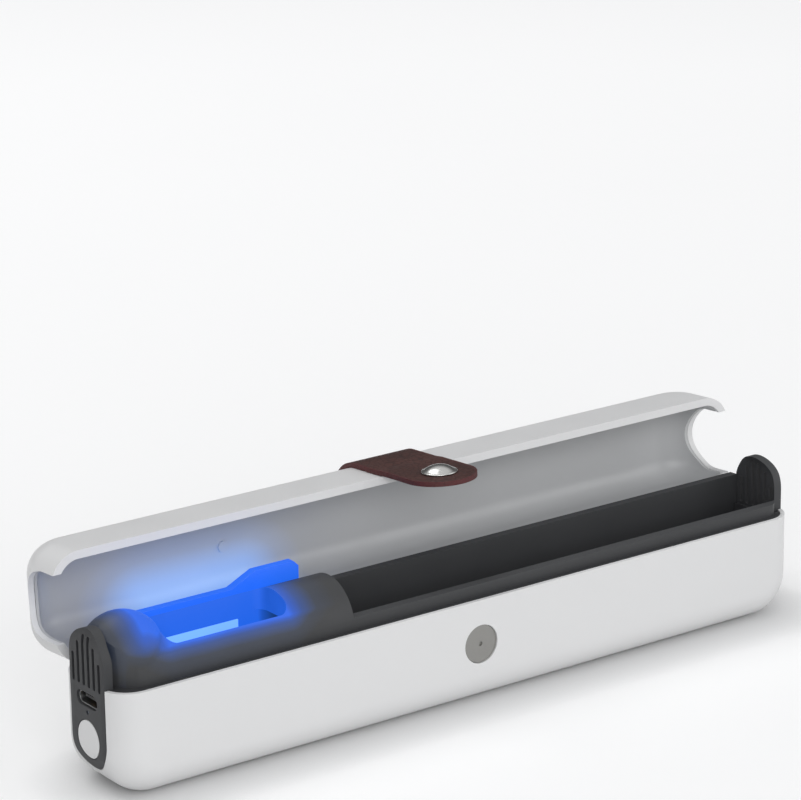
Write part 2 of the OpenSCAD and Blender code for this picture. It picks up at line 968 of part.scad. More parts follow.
module tray_screws() {
    color("silver")
        for (x = boss_xs) {
            top = tray_bottom(x) + tray_wall;
            translate([x, 0, top])
                cylinder(h = tray_head_t, r = tray_head_r);
            translate([x, 0, top - tray_screw_l + tray_wall])
                cylinder(h = tray_screw_l - tray_wall, r = tray_screw_r - pin_clearance);
        }
}

// Leather between two insets of the form, as wide as the strap
module strap_skin(inner, outer) {
    intersection() {
        difference() {
            form(-outer);
            form(-inner);
        }
        block([-strap_w/2, -case_w, -case_h], [strap_w/2, case_w, 2*case_h]);
    }
}

module strap() {
    color("saddlebrown")
        opened()
            difference() {
                intersection() {
                    strap_skin(strap_seat, strap_seat + strap_t);
                    block([-case_l, -case_w, strap_fold_z], [case_l, strap_end_y, 2*case_h]);
                }
                rivet_holes();
            }
}

module rivet_holes() {
    for (y = rivet_y)
        translate([0, y, case_h - lid_wall - over])
            cylinder(h = case_h, r = rivet_stem_r);
}

module strap_rivets() {
    color("silver")
        opened()
            for (y = rivet_y) {
                translate([0, y, case_h + strap_seat + strap_t])
                    cylinder(h = rivet_h, r = rivet_r);
                translate([0, y, case_h - lid_wall])
                    cylinder(h = lid_wall + strap_seat + strap_t, r = rivet_stem_r - pin_clearance/2);
            }
}

module strap_tab() {
    tip_r = strap_w/2;
    y1 = -case_w/2 - part_gap;
    color("saddlebrown")
        opened()
            difference() {
                union() {
                    rod_y(y1 - strap_t, y1, 0, snap_z, tip_r);
                    block([-tip_r, y1 - strap_t, snap_z], [tip_r, y1, strap_fold_z - part_gap]);
                }
                rod_y(-case_w, 0, 0, snap_z, snap_stem_r);
            }
}

module snap_cap() {
    // Radius of the ball that the dome is cut from
    ball_r = (cap_r*cap_r + cap_h*cap_h)/(2*cap_h);
    y1 = -case_w/2 - part_gap - strap_t;
    color("silver")
        opened() {
            intersection() {
                translate([0, y1 + ball_r - cap_h, snap_z])
                    sphere(ball_r);
                rod_y(y1 - cap_h, y1, 0, snap_z, cap_r);
            }
            rod_y(y1, y1 + strap_t, 0, snap_z, snap_stem_r - pin_clearance/2);
        }
}

module snap_magnet() {
    y0 = -case_w/2 - part_gap;
    color("gray")
        opened()
            rod_y(y0, y0 + magnet_t, 0, snap_z, magnet_r);
}

module strike_disc() {
    y0 = -case_w/2 + recess_depth - disc_t;
    color("gray")
        difference() {
            union() {
                rod_y(y0, y0 + disc_t, 0, snap_z, disc_r);
                rod_y(y0, -case_w/2 + base_wall + retainer_t, 0, snap_z, disc_stem_r);
            }
            rod_y(y0 - over, y0 + dimple_depth, 0, snap_z, dimple_r);
        }
}

module disc_retainer() {
    y0 = -case_w/2 + base_wall;
    color("silver")
        difference() {
            rod_y(y0, y0 + retainer_t, 0, snap_z, retainer_r);
            rod_y(y0 - over, y0 + retainer_t + over, 0, snap_z, disc_stem_r + pin_clearance/2);
        }
}

// Magnet under the liner, over the sensor in the bridge when the lid is shut
module lid_magnet() {
    z1 = case_h - lid_wall - liner_seat - liner_t;
    color("silver")
        opened()
            translate([sensor_x, 0, z1 - lid_magnet_t])
                cylinder(h = lid_magnet_t, r = lid_magnet_r);
}

module lid_sensor() {
    z1 = sensor_roof - seat_gap;
    color("black")
        block([sensor_x - sensor_l/2, -sensor_l/2, z1 - sensor_h], [sensor_x + sensor_l/2, sensor_l/2, z1]);
}

base_shell();
lid_shell();
lid_liner();
inner_tray();
control_panel();
vent_panel();
power_button();
switch_plunger();
tact_switch();
main_board();
board_parts();
usb_receptacle();
usb_tongue();
status_light();
light_pipe();
board_screws();
battery_cell();
cell_cradle();
cell_leads();
lamp_board();
uv_emitters();
uv_window();
lamp_leads();
uv_hood();
hinge_pins();
tray_screws();
strap();
strap_rivets();
strap_tab();
snap_cap();
snap_magnet();
strike_disc();
disc_retainer();
lid_magnet();
lid_sensor();
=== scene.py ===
import math

import bmesh
import bpy
import numpy as np
from mathutils import Matrix, Vector


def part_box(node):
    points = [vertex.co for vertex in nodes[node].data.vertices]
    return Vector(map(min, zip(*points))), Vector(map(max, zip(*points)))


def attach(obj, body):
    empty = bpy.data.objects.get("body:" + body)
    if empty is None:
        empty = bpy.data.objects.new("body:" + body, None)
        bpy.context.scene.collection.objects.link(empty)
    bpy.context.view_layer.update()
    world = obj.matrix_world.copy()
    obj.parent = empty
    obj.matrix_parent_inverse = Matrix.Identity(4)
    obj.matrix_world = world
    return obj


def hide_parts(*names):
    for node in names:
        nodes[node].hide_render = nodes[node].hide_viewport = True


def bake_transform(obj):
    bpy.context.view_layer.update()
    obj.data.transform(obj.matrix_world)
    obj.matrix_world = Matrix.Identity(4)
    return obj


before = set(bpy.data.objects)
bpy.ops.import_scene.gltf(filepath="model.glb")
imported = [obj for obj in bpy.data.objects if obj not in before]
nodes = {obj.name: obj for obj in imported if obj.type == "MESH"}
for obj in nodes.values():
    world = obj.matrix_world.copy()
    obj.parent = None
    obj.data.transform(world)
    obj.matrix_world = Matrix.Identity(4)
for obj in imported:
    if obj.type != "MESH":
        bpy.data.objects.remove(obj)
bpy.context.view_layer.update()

scene = bpy.context.scene
scene.view_settings.view_transform = "Standard"
MM = 0.001

# Places and sizes in millimetres that the added pieces share with the source, for the closed case
CASE_FRONT, CASE_TOP, EDGE_RADIUS = -14.0, 48.5, 8.0
HINGE_Y, HINGE_Z, OPEN_ANGLE = 13.1, 28.15, math.radians(94)
SNAP_Z = 16.2
STRAP_THICK, STRAP_END_Y = 1.3, 5.0
# The strap lies close on the lid, and its tab stands a little further off the base
STRAP_LIFT, TAB_GAP = 0.06, 0.3
# The strap eases outwards below the upper of these heights; the lower one is not used in its shape
FOLD_TOP, FOLD_FOOT, EASE_LENGTH = 31.0, 27.2, 3.5

# Camera at the photograph's angle
camera_data = bpy.data.cameras.new("camera")
camera_data.lens = 151.5
camera_data.shift_x = -0.0116
camera_data.shift_y = -0.0369
camera_data.clip_start, camera_data.clip_end = 0.05, 60
camera = bpy.data.objects.new("camera", camera_data)
scene.collection.objects.link(camera)
standpoint = Vector((-0.484733, -0.648622, 0.326781))
right = Vector((0.805559, -0.5924, -0.011687))
down = Vector((-0.17831, -0.223566, -0.95824))
forward = Vector((0.565049, 0.774003, -0.285727))
turn = Matrix((right, -down, -forward)).transposed().to_4x4()
camera.matrix_world = Matrix.Translation(standpoint) @ turn
scene.camera = camera


# Procedural materials
class Tree:
    """The node tree of a material or world, with short ways to add nodes and link them."""

    def __init__(self, owner, output, place):
        owner.use_nodes = True
        self.owner = owner
        self.tree = owner.node_tree
        self.tree.nodes.clear()
        self.out = self.add(output)
        self.place = self.add("ShaderNodeTexCoord").outputs[place]

    def add(self, kind, inputs=None, **settings):
        made = self.tree.nodes.new(kind)
        for key, value in settings.items():
            setattr(made, key, value)
        for key, value in (inputs or {}).items():
            if isinstance(value, bpy.types.NodeSocket):
                self.tree.links.new(value, made.inputs[key])
            else:
                made.inputs[key].default_value = value
        return made

    def math(self, op, a, b=0.0, clamp=False):
        return self.add("ShaderNodeMath", {0: a, 1: b}, operation=op, use_clamp=clamp).outputs[0]

    def span(self, value, low, high, to_low=0.0, to_high=1.0, smooth=False):
        """Maps the range from low to high onto the one from to_low to to_high."""
        inputs = {"Value": value, "From Min": low, "From Max": high, "To Min": to_low, "To Max": to_high}
        kind = "SMOOTHSTEP" if smooth else "LINEAR"
        return self.add("ShaderNodeMapRange", inputs, interpolation_type=kind).outputs["Result"]

    def rays(self):
        """Camera rays alone, and those together with the rays that mirrors and glass send on."""
        path = self.add("ShaderNodeLightPath").outputs
        sent_on = self.math("MAXIMUM", path["Is Glossy Ray"], path["Is Transmission Ray"])
        return path["Is Camera Ray"], self.math("MAXIMUM", path["Is Camera Ray"], sent_on)

    def finish(self, shader):
        self.tree.links.new(shader, self.out.inputs["Surface"])
        return self.owner


class Shader(Tree):
    """A material's tree, with textures placed by the object's own coordinates in metres."""

    SOCKETS = {"base": "Base Color", "rough": "Roughness", "metal": "Metallic", "normal": "Normal",
               "emit": "Emission Color", "power": "Emission Strength", "coat": "Coat Weight",
               "specular": "Specular IOR Level"}

    def __init__(self, name):
        super().__init__(bpy.data.materials.new(name), "ShaderNodeOutputMaterial", "Object")

    def vector(self, op, a, b=(0, 0, 0)):
        made = self.add("ShaderNodeVectorMath", {0: a, 1: b}, operation=op)
        return made.outputs["Value" if op == "LENGTH" else "Vector"]

    def noise(self, scale, detail=3.0, rough=0.5, place=None):
        inputs = {"Vector": place or self.place, "Scale": scale, "Detail": detail, "Roughness": rough}
        return self.add("ShaderNodeTexNoise", inputs).outputs["Fac"]

    def cells(self, scale, place, feature="F1"):
        inputs = {"Vector": place, "Scale": scale}
        return self.add("ShaderNodeTexVoronoi", inputs, feature=feature).outputs["Distance"]

    def mix(self, share, a, b):
        """Mixes two linear colours, each given as three values or as a socket."""
        a, b = [c if isinstance(c, bpy.types.NodeSocket) else (*c, 1) for c in (a, b)]
        return self.add("ShaderNodeMix", {0: share, 6: a, 7: b}, data_type="RGBA").outputs[2]

    def ramp(self, value, stops):
        made = self.add("ShaderNodeValToRGB", {"Fac": value})
        line = made.color_ramp.elements
        while len(line) < len(stops):
            line.new(0.5)
        for item, (at, colour) in zip(line, stops):
            item.position = at
            item.color = (*colour, 1)
        return made.outputs["Color"]

    def stretched(self, scale):
        return self.add("ShaderNodeMapping", {"Vector": self.place, "Scale": scale}).outputs[0]

    def bump(self, height, distance, strength=1.0, normal=None):
        wired = {"Height": height, "Distance": distance, "Strength": strength}
        if normal is not None:
            wired["Normal"] = normal
        return self.add("ShaderNodeBump", wired).outputs[0]

    def away_from_box(self, low, high, weights=(1, 1, 1)):
        """Distance in metres from a box given by its corners in millimetres, each axis weighted."""
        low, high = Vector(low) * MM, Vector(high) * MM
        offset = self.vector("SUBTRACT", self.place, (low + high) / 2)
        beyond = self.vector("SUBTRACT", self.vector("ABSOLUTE", offset), (high - low) / 2)
        outside = self.vector("MAXIMUM", beyond, (0, 0, 0))
        return self.vector("LENGTH", self.vector("MULTIPLY", outside, weights))

    def surface(self, **sockets):
        inputs = {self.SOCKETS[key]: value for key, value in sockets.items()}
        return self.finish(self.add("ShaderNodeBsdfPrincipled", inputs).outputs[0])


def srgb(*values):
    """Linear colour of an 8-bit screen colour."""
    return tuple(((v / 255 + 0.055) / 1.055) ** 2.4 if v > 10 else v / 255 / 12.92 for v in values)


# A colour scaled by a factor, used for random tone, stains and the darker creases
def toned(colour, factor):
    return tuple(min(1, c * factor) for c in colour)


def plastic(name, colour, rough, grain, depth, spread=0.05):
    """Moulded plastic: fine spark-eroded grain, faint flow marks and uneven gloss."""
    s = Shader(name)
    flow = s.math("MULTIPLY", s.noise(scale=38, detail=4, rough=0.55), 0.65)
    speck = s.math("MULTIPLY", s.noise(scale=grain / 3, detail=2, rough=0.6), 0.35)
    base = s.mix(s.math("ADD", flow, speck), toned(colour, 1 - spread), toned(colour, 1 + spread))
    uneven = s.span(s.noise(scale=90, detail=3, rough=0.6), 0.3, 0.7, rough - 0.04, rough + 0.05)
    return s, base, uneven, s.bump(s.noise(scale=grain, detail=3, rough=0.6), depth)


def simple(name, colour, rough, **grain):
    s, base, uneven, normal = plastic(name, colour, rough, **grain)
    return s.surface(base=base, rough=uneven, normal=normal)


def metal(name, colour, rough, lines=(60, 60, 9000), depth=0.000006, spin=None):
    """Plated or brushed steel: fine drawn lines or rings, faint stains and softly varied gloss."""
    s = Shader(name)
    if spin is None:
        drawn = s.stretched(lines)
    else:
        around = s.vector("MULTIPLY", s.vector("SUBTRACT", s.place, spin), (1, 0, 1))
        radius = s.math("MULTIPLY", s.vector("LENGTH", around), max(lines))
        drawn = s.add("ShaderNodeCombineXYZ", {"X": radius}).outputs[0]
    stroke = s.noise(scale=1, detail=3, rough=0.6, place=drawn)
    stain = s.noise(scale=260, detail=4, rough=0.6)
    base = s.mix(stain, toned(colour, 0.9), toned(colour, 1.08))
    gloss = s.math("ADD", s.span(stain, 0.3, 0.7, rough - 0.03, rough + 0.05),
                   s.math("MULTIPLY", stroke, 0.06))
    return s.surface(base=base, rough=gloss, metal=1.0, normal=s.bump(stroke, depth))


BLUE = srgb(30, 98, 222)
UNLIT = (0, 0, 0)


def lit_tray(name, colour, rough):
    """Dark tray plastic with the lamp's blue light painted on and around the head bay as emission."""
    s, base, uneven, normal = plastic(name, colour, rough, grain=3200, depth=0.000016, spread=0.10)
    bay = s.away_from_box((-89, -8.4, 24), (-55, 5, 41), weights=(0.8, 1, 1))
    hump = s.away_from_box((-95.5, -7, 38.5), (-86, 8, 46))
    cloud = s.math("MULTIPLY", s.math("SUBTRACT", s.noise(scale=120, detail=2), 0.5), 0.001)
    near = s.math("ADD", s.math("MINIMUM", bay, hump), cloud)
    # The painted glow reaches the outer faces less: they lie in front of the bay's front side
    place = s.add("ShaderNodeSeparateXYZ", {0: s.place}).outputs
    in_front = s.span(place["Y"], -0.0093, -0.0085, 1.0, 0.0)
    low_down = s.span(place["Z"], 0.0285, 0.0362, 1.0, 0.0)
    near = s.math("ADD", near, s.math("MULTIPLY", s.math("MULTIPLY", in_front, low_down), 0.0080))
    # Where the painted glow is strong, the plastic's own grey is painted over with dark blue and hardly
    # shows
    base = s.mix(s.span(near, 0.0, 0.006, 0.85, 0.0), base, (0.004, 0.012, 0.09))
    # Painted glow: emission that stands in for the lamp's light, fading with the distance from the bay and
    # the hump
    glow = s.ramp(s.math("DIVIDE", near, 0.0115, clamp=True),
                  [(0.0, BLUE), (0.10, srgb(20, 80, 182)), (0.30, srgb(20, 60, 122)),
                   (0.60, srgb(10, 26, 48)), (1.0, UNLIT)])
    return s.surface(base=base, rough=uneven, normal=normal, emit=glow, power=1.0)


def lid_lining(name, colour, rough):
    """Grey satin lining with the lamp's halo painted, as emission, on the part that stands behind the head
    bay.
    """
    s, base, uneven, normal = plastic(name, colour, rough, grain=1500, depth=0.00001, spread=0.03)
    core = s.away_from_box((-72, 20, 20), (-43, 60, 31.5), weights=(0.85, 0.0, 1.1))
    # Painted halo: emission that fades with the distance from a box behind the head bay
    halo = s.ramp(s.math("DIVIDE", core, 0.0165, clamp=True),
                  [(0.0, srgb(62, 124, 198)), (0.3, srgb(40, 100, 168)), (0.65, srgb(12, 46, 86)),
                   (1.0, UNLIT)])
    return s.surface(base=base, rough=uneven, normal=normal, emit=halo, power=1.0)


def leather(name, colour, dark, burnished):
    """Smooth dyed leather: pores and fine creases, colour darker in the creases, burnished edges."""
    s = Shader(name)
    warp = s.add("ShaderNodeTexNoise", {"Vector": s.place, "Scale": 500.0}).outputs["Color"]
    bent = s.vector("ADD", s.place, s.vector("MULTIPLY", warp, (0.0004, 0.0004, 0.0004)))
    pores = s.cells(scale=1500, place=bent)
    crease = s.cells(scale=620, place=bent, feature="DISTANCE_TO_EDGE")
    cloud = s.noise(scale=85, detail=4, rough=0.6)
    fine = s.noise(scale=3800, detail=3, rough=0.6)
    edge = s.add("ShaderNodeAttribute", attribute_name="edge").outputs["Fac"]
    deep = s.mix(s.span(cloud, 0.3, 0.72), dark, colour)
    grain = s.mix(s.span(crease, 0.0, 0.10), toned(dark, 0.55), deep)
    rubbed = s.span(s.noise(scale=600, detail=3), 0.35, 0.65, 0.55, 1.0)
    worn = s.mix(s.math("MULTIPLY", edge, rubbed), grain, burnished)
    rough = s.span(s.math("ADD", cloud, s.math("MULTIPLY", fine, 0.3)), 0.3, 1.0, 0.46, 0.64)
    first = s.bump(s.span(crease, 0.0, 0.16), distance=0.000045, strength=0.8)
    second = s.bump(s.math("ADD", pores, s.math("MULTIPLY", fine, 0.5)), distance=0.00002, strength=0.6,
                    normal=first)
    return s.surface(base=worn, rough=rough, normal=second, specular=0.3)


def circuit(name):
    """Green lacquer over straight copper traces, with the weave of the glass fabric."""
    s = Shader(name)
    traces = s.add("ShaderNodeTexBrick", {
        "Vector": s.stretched((0, 620, 620)), "Scale": 1.0, "Mortar Size": 0.06,
        "Color1": (0, 0, 0, 1), "Color2": (0.25, 0.25, 0.25, 1), "Mortar": (1, 1, 1, 1)}).outputs
    weave = s.noise(scale=1, detail=2, place=s.stretched((2200, 5200, 2200)))
    base = s.mix(traces["Color"], srgb(12, 34, 26), srgb(28, 66, 46))
    base = s.mix(s.span(weave, 0.4, 0.6, 0.0, 0.25), base, srgb(8, 22, 18))
    normal = s.bump(traces["Fac"], distance=0.00004, strength=0.6)
    return s.surface(base=base, rough=0.3, normal=normal, coat=0.4)


def shrink_wrap(name):
    """Heat-shrunk sleeve with faint lengthwise wrinkles."""
    s = Shader(name)
    wrinkle = s.noise(scale=1, detail=4, rough=0.6, place=s.stretched((40, 900, 900)))
    base = s.mix(s.span(wrinkle, 0.35, 0.65), srgb(32, 78, 132), srgb(46, 98, 160))
    rough = s.span(wrinkle, 0.3, 0.7, 0.26, 0.4)
    return s.surface(base=base, rough=rough, normal=s.bump(wrinkle, distance=0.00005), coat=0.3)


def glowing(name, colour, power, base, rough, lit_box=None):
    """Plastic or glass that carries the lamp's light, a little uneven, and less beyond its lit box; on all
    but the lamp chips this glow is painted light.
    """
    s = Shader(name)
    cloud = s.span(s.noise(scale=70, detail=2), 0.3, 0.7, 0.96 * power, 1.04 * power)
    if lit_box:
        fade = s.span(s.away_from_box(*lit_box), 0.0, 0.012, 1.0, 0.9, smooth=True)
        cloud = s.math("MULTIPLY", cloud, fade)
    return s.surface(base=(*base, 1), rough=rough, emit=(*colour, 1), power=cloud,
                     normal=s.bump(s.noise(scale=1500, detail=2), distance=0.000008))


shell_white = simple("white_shell", srgb(228, 228, 228), 0.36, grain=2200, depth=0.00001, spread=0.012)
tray_dark = lit_tray("tray_dark", srgb(54, 55, 57), 0.55)
panel_dark = simple("panel_dark", srgb(54, 55, 57), 0.58, grain=4200, depth=0.00002, spread=0.09)
lining = lid_lining("lid_lining", srgb(190, 191, 192), 0.36)
button_white = simple("button_white", srgb(230, 230, 230), 0.25, grain=3500, depth=0.000004, spread=0.01)
black = simple("black_plastic", srgb(28, 28, 30), 0.42, grain=4000, depth=0.00001, spread=0.12)
ivory = simple("ivory_plastic", srgb(226, 220, 200), 0.4, grain=4000, depth=0.00001, spread=0.03)
board = circuit("board_green")
bright = metal("bright_steel", srgb(196, 196, 194), 0.2, depth=0.000003)
pin_steel = metal("pin_steel", srgb(196, 197, 198), 0.24, lines=(9000, 80, 80))
grey_steel = metal("grey_steel", srgb(150, 149, 146), 0.42, spin=(0, CASE_FRONT * MM, SNAP_Z * MM),
                   depth=0.000012)
magnet_grey = metal("magnet_grey", srgb(150, 150, 150), 0.38, lines=(3000, 3000, 3000))
port_steel = metal("port_steel", srgb(188, 189, 190), 0.27, lines=(900, 5000, 5000))
gold = metal("gold_plate", srgb(222, 186, 110), 0.2, lines=(8000, 400, 400))
# Painted glow: the light pipe is no lamp
pipe = glowing("light_pipe", srgb(120, 170, 255), 0.15, base=srgb(225, 230, 236), rough=0.2)
lamp = glowing("lamp_chip", srgb(170, 190, 255), 1.6, base=srgb(120, 120, 200), rough=0.3)
wrap = shrink_wrap("cell_wrap")
foam = simple("black_foam", srgb(24, 24, 25), 0.86, grain=1400, depth=0.00009, spread=0.25)
red_lead = simple("red_sleeve", srgb(150, 26, 24), 0.42, grain=1200, depth=0.00001)
# Painted glow: the hood is no lamp; its emission stands in for the lamp's light shining through it, with a
# painted fall-off beyond its lit box
hood_blue = glowing("hood_blue", BLUE, 0.92, base=srgb(20, 60, 150), rough=0.34,
                    lit_box=((-88, 0, 30), (-46, 10, 44)))
# Painted glow: the window is no lamp; its emission stands in for the lamp's light shining through it
window_blue = glowing("window_blue", srgb(120, 175, 255), 1.0, base=srgb(70, 110, 200), rough=0.12)
brown = leather("brown_leather", srgb(82, 50, 45), dark=srgb(58, 33, 30), burnished=srgb(84, 40, 42))


# CAD nodes: rounded edges, smooth shading and their materials
def dress(name, materials, width):
    """Gives a CAD node its materials and, by modifiers alone, edges rounded to a width in millimetres."""
    piece = nodes[name]
    mesh = piece.data
    if "custom_normal" in mesh.attributes:
        mesh.attributes.remove(mesh.attributes["custom_normal"])
    mesh.polygons.foreach_set("use_smooth", [True] * len(mesh.polygons))
    for k in range(max(1, len(mesh.materials))):
        chosen = materials[min(k, len(materials) - 1)]
        if len(mesh.materials) > k:
            mesh.materials[k] = chosen
        else:
            mesh.materials.append(chosen)
    weld = piece.modifiers.new("weld", "WELD")
    weld.merge_threshold = 1e-6
    if width:
        bevel = piece.modifiers.new("rounding", "BEVEL")
        bevel.width = width * MM
        bevel.segments = 2
        bevel.limit_method = "ANGLE"
        bevel.angle_limit = math.radians(32)
        bevel.use_clamp_overlap = True
        bevel.harden_normals = True


for name, width, *materials in (
        ("base_shell", 0.25, shell_white), ("lid_shell", 0.3, shell_white), ("lid_liner", 0.12, lining),
        ("inner_tray", 0.3, tray_dark), ("control_panel", 0.2, panel_dark), ("vent_panel", 0.2, panel_dark),
        ("power_button", 0.25, button_white), ("switch_plunger", 0.15, black), ("tact_switch", 0.15, black),
        ("main_board", 0.1, board), ("board_parts", 0.12, black, ivory), ("board_screws", 0.12, bright),
        ("usb_receptacle", 0.06, port_steel), ("usb_tongue", 0.08, black), ("status_light", 0.08, pipe),
        ("light_pipe", 0.06, pipe), ("battery_cell", 0.5, wrap, bright), ("cell_cradle", 0.3, foam),
        ("cell_leads", 0.0, red_lead, black), ("lamp_board", 0.08, board), ("uv_emitters", 0.1, lamp),
        ("uv_window", 0.1, window_blue), ("lamp_leads", 0.0, red_lead, black), ("uv_hood", 0.35, hood_blue),
        ("hinge_pins", 0.15, pin_steel), ("strap_rivets", 0.25, bright), ("snap_magnet", 0.1, magnet_grey),
        ("strike_disc", 0.18, grey_steel), ("disc_retainer", 0.1, pin_steel), ("lid_magnet", 0.15, lining),
        ("lid_sensor", 0.12, black), ("tray_screws", 0.15, bright), ("snap_cap", 0.1, bright),
        ("strap", 0.2, brown), ("strap_tab", 0.2, brown)):
    dress(name, materials, width)


# Pieces that are added to the CAD nodes, or stand for them
def add_piece(name, mesh, body, material):
    piece = bpy.data.objects.new(name, mesh)
    scene.collection.objects.link(piece)
    mesh.materials.append(material)
    mesh.polygons.foreach_set("use_smooth", [True] * len(mesh.polygons))
    if body:
        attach(piece, body)
    return piece


def written(mesh, name):
    """Mesh data with what a bmesh holds, which is then freed."""
    data = bpy.data.meshes.new(name)
    mesh.to_mesh(data)
    mesh.free()
    return data


def turned(y, z, angle):
    """A point's place, in millimetres, after a turn about the hinge's axis."""
    y, z = y - HINGE_Y, z - HINGE_Z
    c, s = math.cos(angle), math.sin(angle)
    return HINGE_Y + y * c - z * s, HINGE_Z + y * s + z * c


def swung(y, z):
    """Where a point of the closed lid lies when the lid stands open."""
    return turned(y, z, -OPEN_ANGLE)


# Leather strap: one skin from the lid's top round its front edge to the snap
BEND_Y, BEND_Z = CASE_FRONT + EDGE_RADIUS, CASE_TOP - EDGE_RADIUS
BEND_RADIUS = EDGE_RADIUS + STRAP_LIFT + STRAP_THICK / 2
FLAT_LENGTH, BEND_LENGTH = STRAP_END_Y - BEND_Y, BEND_RADIUS * math.pi / 2


def strap_path(length):
    """Point of the strap's middle layer at a length from its end on the lid's top."""
    if length < FLAT_LENGTH:
        return STRAP_END_Y - length, BEND_Z + BEND_RADIUS
    if length < FLAT_LENGTH + BEND_LENGTH:
        a = (length - FLAT_LENGTH) / BEND_RADIUS
        return BEND_Y - BEND_RADIUS * math.sin(a), BEND_Z + BEND_RADIUS * math.cos(a)
    z = BEND_Z - (length - FLAT_LENGTH - BEND_LENGTH)
    share = min(1.0, max(0.0, (FOLD_TOP - z) / EASE_LENGTH))
    eased = share * share * (3 - 2 * share)
    return CASE_FRONT - STRAP_LIFT - STRAP_THICK / 2 - (TAB_GAP - STRAP_LIFT) * eased, z


def strap_stations(half_width):
    """Lengths along the strap and its half width there: cut corners, straight sides, round tip."""
    corner_l, straight_rows, tip_rows, last_angle = 1.0, 46, 24, math.radians(88.6)
    to_tip = FLAT_LENGTH + BEND_LENGTH + BEND_Z - SNAP_Z
    stations = [(0.0, half_width - 1.1), (0.35, half_width - 0.45), (corner_l, half_width - 0.05)]
    for k in range(1, straight_rows):
        stations.append((corner_l + (to_tip - corner_l) * k / straight_rows, half_width))
    for k in range(tip_rows + 1):
        a = last_angle * k / tip_rows
        stations.append((to_tip + half_width * math.sin(a), half_width * math.cos(a)))
    return stations


def thickened(data, thickness, rounding):
    """Mesh of a sheet that is given a thickness and rounded cut edges, in millimetres."""
    skin = bpy.data.objects.new("skin", data)
    scene.collection.objects.link(skin)
    solid = skin.modifiers.new("thickness", "SOLIDIFY")
    solid.thickness, solid.offset = thickness * MM, 0.0
    solid.use_even_offset = True
    edge = skin.modifiers.new("edge", "BEVEL")
    edge.width, edge.segments = rounding * MM, 3
    edge.limit_method, edge.angle_limit = "ANGLE", math.radians(50)
    graph = bpy.context.evaluated_depsgraph_get()
    final = bpy.data.meshes.new_from_object(skin.evaluated_get(graph), depsgraph=graph)
    bpy.data.objects.remove(skin)
    return final


def mark_edges(mesh, half_width):
    """Stores how far each point belongs to the burnished edge, and presses a shallow line beside it."""
    edge_w, fade_w, fade_share = 0.2, 0.5, 0.5
    line_start, line_stop, line_depth = 1.15, 1.75, 0.06
    share = np.zeros(len(mesh.vertices), np.float32)
    for k, v in enumerate(mesh.vertices):
        x = abs(v.co.x) / MM
        y, z = turned(v.co.y / MM, v.co.z / MM, OPEN_ANGLE)
        inside = half_width - (x if z > SNAP_Z else math.hypot(x, z - SNAP_Z))
        share[k] = 1.0 if inside < edge_w else max(0.0, 1 - (inside - edge_w) / fade_w) * fade_share
        if line_start < inside < line_stop:
            v.co -= v.normal * line_depth * MM
    mesh.attributes.new("edge", "FLOAT", "POINT").data.foreach_set("value", share)


def leather_strap():
    half_width, columns = 9.65, 20
    mesh = bmesh.new()
    rows = []
    for length, half in strap_stations(half_width):
        y, z = swung(*strap_path(length))
        rows.append([mesh.verts.new((half * (2 * k / columns - 1) * MM, y * MM, z * MM))
                     for k in range(columns + 1)])
    for a, b in zip(rows, rows[1:]):
        for k in range(columns):
            mesh.faces.new((a[k], a[k + 1], b[k + 1], b[k]))
    bmesh.ops.recalc_face_normals(mesh, faces=mesh.faces)
    final = thickened(written(mesh, "leather_strap_skin"), thickness=1.26, rounding=0.34)
    final.name = "leather_strap"
    mark_edges(final, half_width)
    piece = add_piece("leather_strap", final, None, brown)
    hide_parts("strap", "strap_tab")
    middle = CASE_FRONT - STRAP_THICK / 2
    a, b = swung(middle, FOLD_TOP), swung(middle, FOLD_FOOT)
    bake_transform(piece)


leather_strap()


def ring(radius, height, turns, sides=0):
    """Points of a circle about Z, or of a polygon with the circle's radius at its corners."""
    points = []
    for k in range(turns):
        a = 2 * math.pi * k / turns
        r = radius
        if sides:
            r *= math.cos(math.pi / sides) / math.cos(a % (2 * math.pi / sides) - math.pi / sides)
        points.append((r * math.cos(a), r * math.sin(a), height))
    return points


def loft(name, rings):
    """Closed mesh through rings of points in millimetres."""
    mesh = bmesh.new()
    rows = [[mesh.verts.new(Vector(point) * MM) for point in points] for points in rings]
    for a, b in zip(rows, rows[1:]):
        for k in range(len(a)):
            after = (k + 1) % len(a)
            mesh.faces.new((a[k], a[after], b[after], b[k]))
    mesh.faces.new(list(reversed(rows[0])))
    mesh.faces.new(rows[-1])
    bmesh.ops.recalc_face_normals(mesh, faces=mesh.faces)
    return written(mesh, name)


def snap_dome():
    """Pressed steel cap: a low dome with a rolled rim."""
    rim, height, turns, steps = 4.72, 2.06, 64, 12
    # Radii and heights from the middle of the underside out and round the rolled rim
    profile = [(0.02, 0.02), (rim - 0.5, 0.02), (rim - 0.12, 0.06), (rim, 0.22), (rim - 0.04, 0.42),
               (rim - 0.2, 0.53)]
    dome_radius, top_radius = rim - 0.32, 0.03
    ball = (rim * rim + height * height) / (2 * height)
    for k in range(1, steps + 1):
        r = dome_radius * (1 - k / steps) + top_radius
        profile.append((r, math.sqrt(ball * ball - r * r) - ball + height))
    data = loft("snap_cap_dome", [ring(r, z, turns) for r, z in profile])
    tab_y = CASE_FRONT - TAB_GAP - STRAP_THICK
    cap_y, cap_z = swung(tab_y, SNAP_Z)
    out_y, out_z = swung(tab_y - 1, SNAP_Z)
    lean = Vector((0, out_y - cap_y, out_z - cap_z)).to_track_quat("Z", "Y").to_matrix().to_4x4()
    data.transform(Matrix.Translation((0, cap_y * MM, cap_z * MM)) @ lean)
    piece = add_piece("snap_cap_dome", data, "strap_tab", bright)
    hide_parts("snap_cap")


snap_dome()


